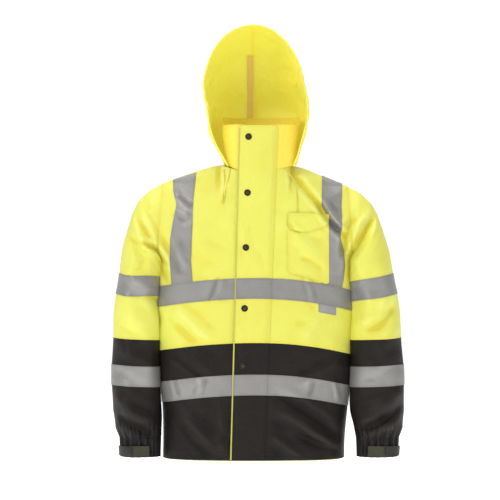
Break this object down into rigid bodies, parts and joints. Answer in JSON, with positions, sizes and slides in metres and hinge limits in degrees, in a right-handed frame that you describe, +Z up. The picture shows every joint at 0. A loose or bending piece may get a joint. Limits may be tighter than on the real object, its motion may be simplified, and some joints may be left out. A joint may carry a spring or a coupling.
{
  "type": "hooded rain jacket",
  "caption": "Hooded two-colour high-visibility rain jacket with storm flap over a zip, reflective bands and braces, chest pocket and adjustable cuffs, hung open-bodied.",
  "frame": {"origin": "middle of the hang loop's lowest run, inside the back neck", "axes": "+Z up from hem to hood, +X towards the wearer's left, -Y to the front"},
  "size_m": [0.7322, 0.2516, 1.0817],
  "materials": {
    "lime_cloth": "coated woven cloth, matt with a soft sheen",
    "lime_collar": "coated woven cloth, matt with a soft sheen",
    "lime_facing": "binding cloth, matt",
    "black_cloth": "coated woven cloth, matt",
    "silver_tape": "retroreflective tape, satin",
    "grey_label": "smooth printed patch, blank",
    "hook_and_loop": "brushed nylon",
    "seam_tape": "glued seam tape, satin",
    "loop_tape": "woven narrow tape",
    "snap_metal": "dark enamelled press fastener",
    "zip_tape": "moulded zip chain on woven tape",
    "zip_metal": "black enamelled metal",
    "cord": "braided cord"
  },
  "bodies": {
    "jacket": {"front_right_upper": "lime_cloth", "front_left_upper": "lime_cloth", "front_right_lower": "black_cloth", "front_left_lower": "black_cloth", "back_upper": "lime_cloth", "back_lower": "black_cloth", "hem_facing": "lime_facing", "waist_tape_right": "silver_tape", "waist_tape_left": "silver_tape", "waist_tape_back": "silver_tape", "chest_tape_right": "silver_tape", "chest_tape_left": "silver_tape", "chest_tape_back": "silver_tape", "brace_tape_right": "silver_tape", "brace_tape_left": "silver_tape", "collar": "lime_collar", "hang_loop": "loop_tape", "snap_stud_1": "snap_metal", "snap_stud_2": "snap_metal", "snap_stud_3": "snap_metal", "snap_stud_4": "snap_metal", "snap_stud_5": "snap_metal", "zip_half_right": "zip_tape", "zip_half_left": "zip_tape", "chest_pocket": "lime_cloth", "label_patch": "grey_label", "drawcord_right": "cord", "drawcord_left": "cord"},
    "storm_flap": {"storm_flap_upper": "lime_cloth", "storm_flap_lower": "black_cloth", "storm_flap_facing": "lime_facing", "waist_tape_flap": "silver_tape", "chest_tape_flap": "silver_tape", "snap_cap_1": "snap_metal", "snap_cap_2": "snap_metal", "snap_cap_3": "snap_metal", "snap_cap_4": "snap_metal", "snap_cap_5": "snap_metal"},
    "zip_slider": {"zip_slider": "zip_metal", "zip_pull": "zip_metal"},
    "pocket_flap": {"chest_pocket_flap": "lime_cloth"},
    "hood": {"hood_right": "lime_collar", "hood_left": "lime_collar", "hood_rim_casing": "lime_collar", "hood_seam_tape": "seam_tape"},
    "sleeve_right": {"sleeve_right_upper": "lime_cloth", "sleeve_right_lower": "black_cloth", "sleeve_right_tape_upper": "silver_tape", "sleeve_right_tape_lower": "silver_tape", "cuff_right": "black_cloth", "cuff_right_loop_patch": "hook_and_loop"},
    "cuff_strap_right": {"cuff_right_strap": "hook_and_loop"},
    "sleeve_left": {"sleeve_left_upper": "lime_cloth", "sleeve_left_lower": "black_cloth", "sleeve_left_tape_upper": "silver_tape", "sleeve_left_tape_lower": "silver_tape", "cuff_left": "black_cloth", "cuff_left_loop_patch": "hook_and_loop"},
    "cuff_strap_left": {"cuff_left_strap": "hook_and_loop"}
  },
  "joints": [
    {"name": "storm_flap_open", "type": "hinge", "parent": "jacket", "child": "storm_flap", "pos_m": [0.024, -0.21576, -0.716], "axis": [0.0409, 0.0529, 0.9978], "range_deg": [0, 105]},
    {"name": "zip_slide", "type": "slide", "parent": "jacket", "child": "zip_slider", "axis": [0.024, 0.0529, 0.9983], "range_m": [-0.78, 0]},
    {"name": "pocket_flap_lift", "type": "hinge", "parent": "jacket", "child": "pocket_flap", "pos_m": [0.1322, -0.18016, -0.102], "axis": [-0.9926, -0.121, -0.0103], "range_deg": [0, 110]},
    {"name": "hood_tilt", "type": "hinge", "parent": "jacket", "child": "hood", "pos_m": [0, 0.00144, 0.029], "axis": [-1, 0, 0], "range_deg": [0, 40], "deforming": ["hood_right", "hood_left", "hood_rim_casing", "hood_seam_tape"]},
    {"name": "sleeve_right_swing", "type": "hinge", "parent": "jacket", "child": "sleeve_right", "pos_m": [-0.232, -0.09056, -0.028], "axis": [0, 1, 0], "range_deg": [0, 35]},
    {"name": "cuff_strap_right_open", "type": "hinge", "parent": "sleeve_right", "child": "cuff_strap_right", "pos_m": [-0.3479, -0.13176, -0.696], "axis": [0, 0, -1], "range_deg": [0, 100]},
    {"name": "sleeve_left_swing", "type": "hinge", "parent": "jacket", "child": "sleeve_left", "pos_m": [0.232, -0.09056, -0.028], "axis": [0, -1, 0], "range_deg": [0, 35]},
    {"name": "cuff_strap_left_open", "type": "hinge", "parent": "sleeve_left", "child": "cuff_strap_left", "pos_m": [0.3479, -0.13176, -0.696], "axis": [0, 0, 1], "range_deg": [0, 100]}
  ]
}
